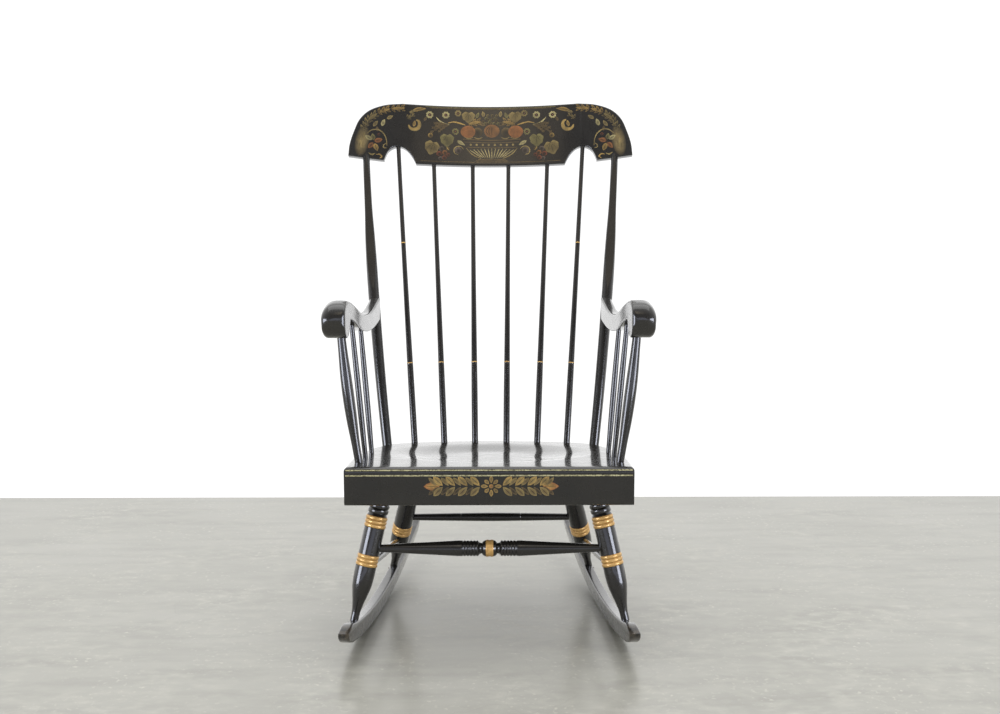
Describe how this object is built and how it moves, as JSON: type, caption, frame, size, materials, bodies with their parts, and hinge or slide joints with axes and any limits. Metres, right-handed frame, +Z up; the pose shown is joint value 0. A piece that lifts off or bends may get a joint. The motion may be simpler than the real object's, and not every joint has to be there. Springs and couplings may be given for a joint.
{
  "type": "rocking chair",
  "caption": "Rocking chair with a dished plank seat and deep front rail, tall spindle back under a shaped crest, scrolled arms and turned legs on long curved rockers.",
  "frame": {"origin": "on the floor, under the centre of the chair's bounding box", "axes": "+X to the sitter's left, -Y the way the sitter faces, +Z up"},
  "size_m": [0.642, 0.73, 1.0894],
  "materials": {
    "lacquer": "glossy black lacquer over hardwood, rubbed along the edges",
    "bronze_bands": "glossy black lacquer with bronze-gold painted turnings and stencilling",
    "steel": "plain steel wood screw",
    "pin_wood": "bare hardwood pin"
  },
  "bodies": {
    "root": {"seat_plank": "lacquer", "front_rail": "lacquer", "crest_rail": "lacquer", "rocker_left": "lacquer", "front_leg_left": "bronze_bands", "rear_leg_left": "bronze_bands", "side_stretcher_left": "lacquer", "rocker_pin_front_left": "pin_wood", "rocker_pin_rear_left": "pin_wood", "back_post_left": "lacquer", "back_spindle_inner_left": "lacquer", "back_spindle_middle_left": "lacquer", "back_spindle_outer_left": "lacquer", "arm_left": "lacquer", "arm_post_left": "lacquer", "arm_spindle_front_left": "lacquer", "arm_spindle_rear_left": "lacquer", "arm_screw_left": "steel", "crest_pin_left": "pin_wood", "rocker_right": "lacquer", "front_leg_right": "bronze_bands", "rear_leg_right": "bronze_bands", "side_stretcher_right": "lacquer", "rocker_pin_front_right": "pin_wood", "rocker_pin_rear_right": "pin_wood", "back_post_right": "lacquer", "back_spindle_inner_right": "lacquer", "back_spindle_middle_right": "lacquer", "back_spindle_outer_right": "lacquer", "arm_right": "lacquer", "arm_post_right": "lacquer", "arm_spindle_front_right": "lacquer", "arm_spindle_rear_right": "lacquer", "arm_screw_right": "steel", "crest_pin_right": "pin_wood", "front_stretcher": "lacquer", "rear_stretcher": "lacquer"}
  },
  "joints": []
}
